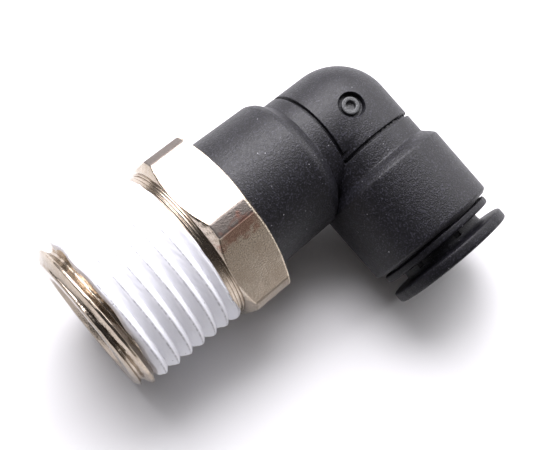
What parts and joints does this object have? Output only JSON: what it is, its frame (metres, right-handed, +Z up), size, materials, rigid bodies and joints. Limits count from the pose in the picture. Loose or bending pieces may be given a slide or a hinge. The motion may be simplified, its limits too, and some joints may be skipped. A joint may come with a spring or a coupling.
{
  "type": "push-in swivel elbow fitting",
  "caption": "Swivel elbow push-in fitting: sealant-coated male taper thread with a hexagon, black plastic elbow and a tube port with a release ring.",
  "frame": {"origin": "under the middle of the fitting's box, on the surface it rests on", "axes": "+X along the stud from the thread's end to the elbow's corner, +Y away from the tube port, +Z up; the tube port points to -Y and 8.35 degrees down"},
  "size_m": [0.0494, 0.0358, 0.0234],
  "materials": {
    "nickel_plate": "bright nickel plate over turned brass",
    "sealant": "white thread sealant, slightly rough",
    "black_plastic": "fine-grained moulded black plastic",
    "rubber": "matt black nitrile rubber",
    "acetal": "natural white plastic",
    "stainless": "stamped stainless steel"
  },
  "bodies": {
    "stud": {"threaded_stud": "nickel_plate", "thread_sealant": "sealant", "stem_snap_ring": "stainless", "stem_o_ring": "rubber"},
    "elbow": {"elbow_body": "black_plastic", "tube_seal": "rubber", "seal_retainer": "acetal", "claw_ring_rim": "stainless", "port_guide_ring": "black_plastic"},
    "release": {"release_ring": "black_plastic"},
    "claw_1": {"grip_claw_1": "stainless"},
    "claw_2": {"grip_claw_2": "stainless"},
    "claw_3": {"grip_claw_3": "stainless"},
    "claw_4": {"grip_claw_4": "stainless"},
    "claw_5": {"grip_claw_5": "stainless"},
    "claw_6": {"grip_claw_6": "stainless"},
    "claw_7": {"grip_claw_7": "stainless"},
    "claw_8": {"grip_claw_8": "stainless"},
    "claw_9": {"grip_claw_9": "stainless"},
    "claw_10": {"grip_claw_10": "stainless"}
  },
  "joints": [
    {"name": "swivel", "type": "hinge", "parent": "stud", "child": "elbow", "pos_m": [-0.00945, 0.00585, 0.01171], "axis": [1, 0, 0], "continuous": true},
    {"name": "release_push", "type": "slide", "parent": "elbow", "child": "release", "axis": [0, 0.9894, 0.1452], "range_m": [0, 0.0012], "stiffness_N_per_m": 1000},
    {"name": "claw_1_bend", "type": "hinge", "parent": "elbow", "child": "claw_1", "pos_m": [0.0219, -0.00854, 0.0096], "axis": [0, 0.1452, -0.9894], "range_deg": [0, 25]},
    {"name": "claw_2_bend", "type": "hinge", "parent": "elbow", "child": "claw_2", "pos_m": [0.02073, -0.00907, 0.01318], "axis": [0.5878, 0.1175, -0.8004], "range_deg": [0, 25]},
    {"name": "claw_3_bend", "type": "hinge", "parent": "elbow", "child": "claw_3", "pos_m": [0.01765, -0.00939, 0.01539], "axis": [0.9511, 0.0449, -0.3057], "range_deg": [0, 25]},
    {"name": "claw_4_bend", "type": "hinge", "parent": "elbow", "child": "claw_4", "pos_m": [0.01385, -0.00939, 0.01539], "axis": [0.9511, -0.0449, 0.3057], "range_deg": [0, 25]},
    {"name": "claw_5_bend", "type": "hinge", "parent": "elbow", "child": "claw_5", "pos_m": [0.01077, -0.00907, 0.01318], "axis": [0.5878, -0.1175, 0.8004], "range_deg": [0, 25]},
    {"name": "claw_6_bend", "type": "hinge", "parent": "elbow", "child": "claw_6", "pos_m": [0.0096, -0.00854, 0.0096], "axis": [0, -0.1452, 0.9894], "range_deg": [0, 25]},
    {"name": "claw_7_bend", "type": "hinge", "parent": "elbow", "child": "claw_7", "pos_m": [0.01077, -0.00802, 0.00602], "axis": [-0.5878, -0.1175, 0.8004], "range_deg": [0, 25]},
    {"name": "claw_8_bend", "type": "hinge", "parent": "elbow", "child": "claw_8", "pos_m": [0.01385, -0.00769, 0.00381], "axis": [-0.9511, -0.0449, 0.3057], "range_deg": [0, 25]},
    {"name": "claw_9_bend", "type": "hinge", "parent": "elbow", "child": "claw_9", "pos_m": [0.01765, -0.00769, 0.00381], "axis": [-0.9511, 0.0449, -0.3057], "range_deg": [0, 25]},
    {"name": "claw_10_bend", "type": "hinge", "parent": "elbow", "child": "claw_10", "pos_m": [0.02073, -0.00802, 0.00602], "axis": [-0.5878, 0.1175, -0.8004], "range_deg": [0, 25]}
  ],
  "couplings": [
    {"joint": "claw_1_bend", "follows": "release_push", "rad_per_m": 349},
    {"joint": "claw_2_bend", "follows": "release_push", "rad_per_m": 349},
    {"joint": "claw_3_bend", "follows": "release_push", "rad_per_m": 349},
    {"joint": "claw_4_bend", "follows": "release_push", "rad_per_m": 349},
    {"joint": "claw_5_bend", "follows": "release_push", "rad_per_m": 349},
    {"joint": "claw_6_bend", "follows": "release_push", "rad_per_m": 349},
    {"joint": "claw_7_bend", "follows": "release_push", "rad_per_m": 349},
    {"joint": "claw_8_bend", "follows": "release_push", "rad_per_m": 349},
    {"joint": "claw_9_bend", "follows": "release_push", "rad_per_m": 349},
    {"joint": "claw_10_bend", "follows": "release_push", "rad_per_m": 349}
  ]
}
